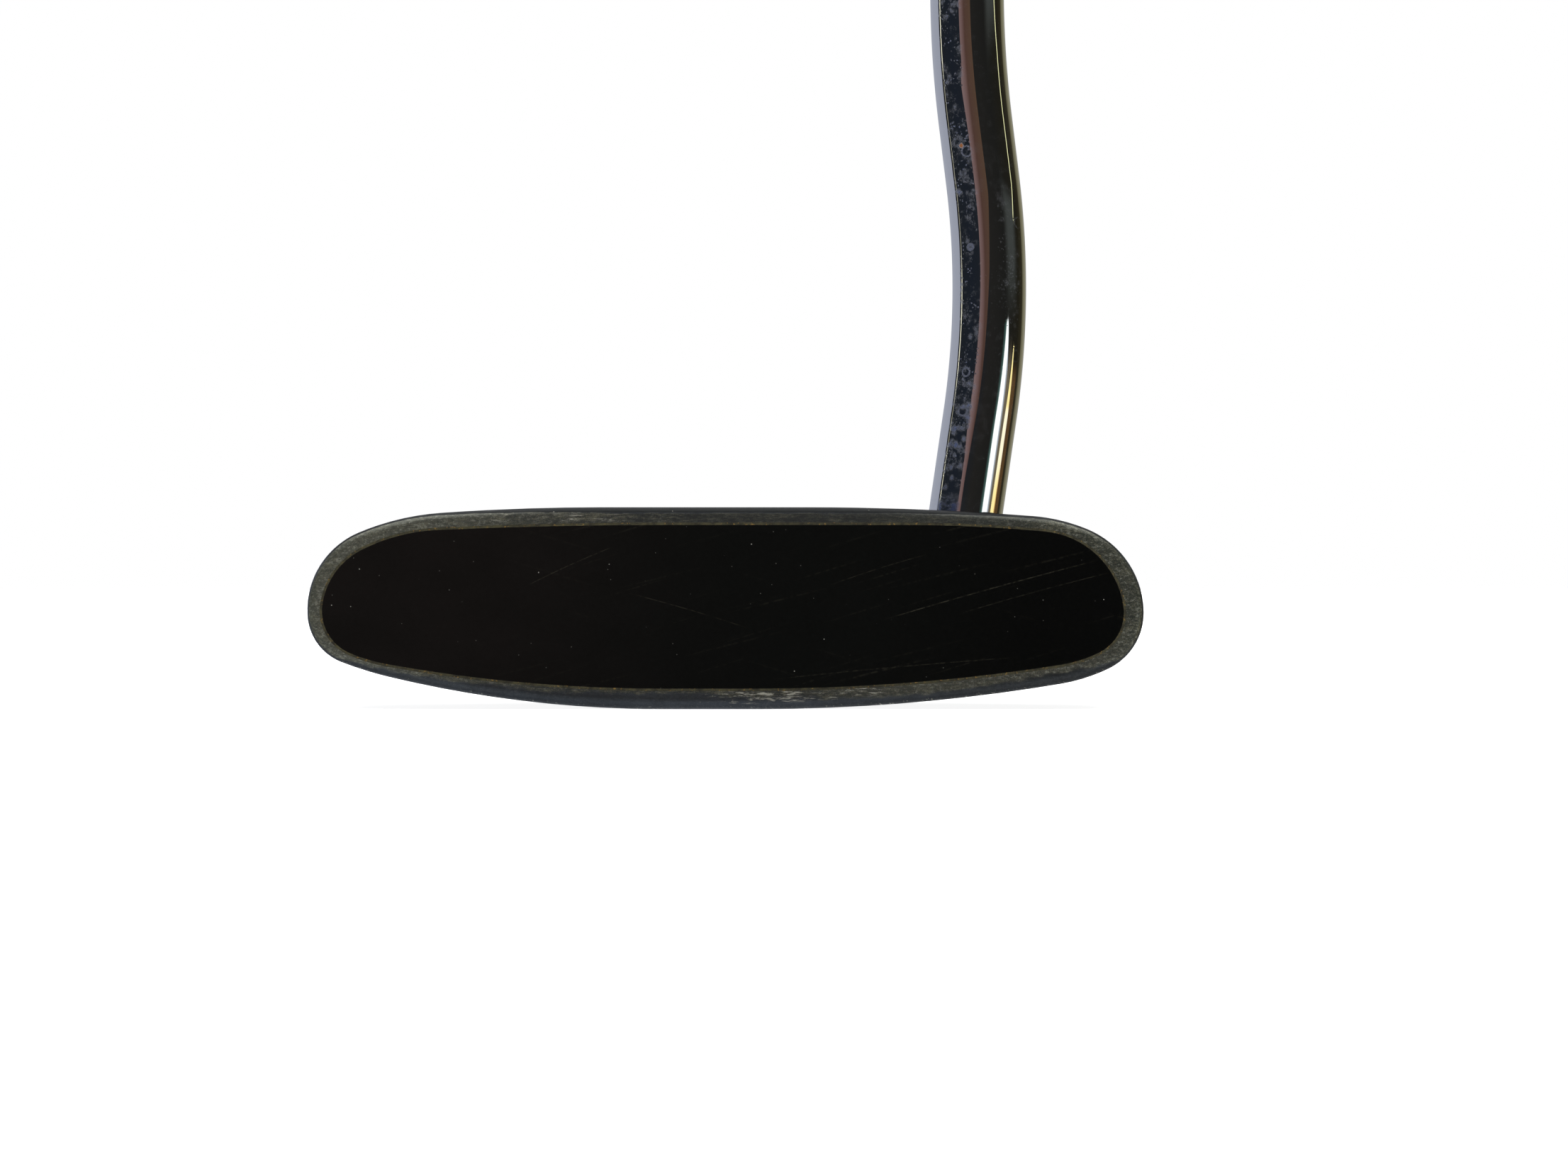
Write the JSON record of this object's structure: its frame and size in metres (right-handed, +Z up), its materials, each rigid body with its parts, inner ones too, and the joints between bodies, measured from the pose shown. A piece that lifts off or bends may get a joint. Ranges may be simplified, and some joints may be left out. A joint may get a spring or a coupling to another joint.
{
  "type": "blade putter",
  "caption": "Right-handed blade golf putter: oval face with a full-face black insert, shallow flanged back, double-bend steel shaft set straight into the head, flat-front rubber grip.",
  "frame": {"origin": "centre of the short flat on the sole, with the putter at address", "axes": "+Z up, toe towards -X, heel towards +X, striking face towards -Y"},
  "size_m": [0.35, 0.0293, 0.8436],
  "materials": {
    "gunmetal": "worn satin gunmetal",
    "insert_black": "satin, finely scratched",
    "brown_glue": "cured glue",
    "white_paint": "enamel paint fill",
    "chromed_tube": "bright chrome plate",
    "epoxy": "cured epoxy",
    "plug_rubber": "matt",
    "grip_rubber": "matt, finely ribbed",
    "cap_rubber": "satin",
    "tape": "crepe paper"
  },
  "bodies": {
    "root": {"head_body": "gunmetal", "face_insert": "insert_black", "insert_glue": "brown_glue", "sight_line": "white_paint", "shaft": "chromed_tube", "shaft_glue": "epoxy", "tip_plug": "plug_rubber", "grip_sleeve": "grip_rubber", "grip_cap": "cap_rubber", "grip_tape": "tape"}
  },
  "joints": []
}
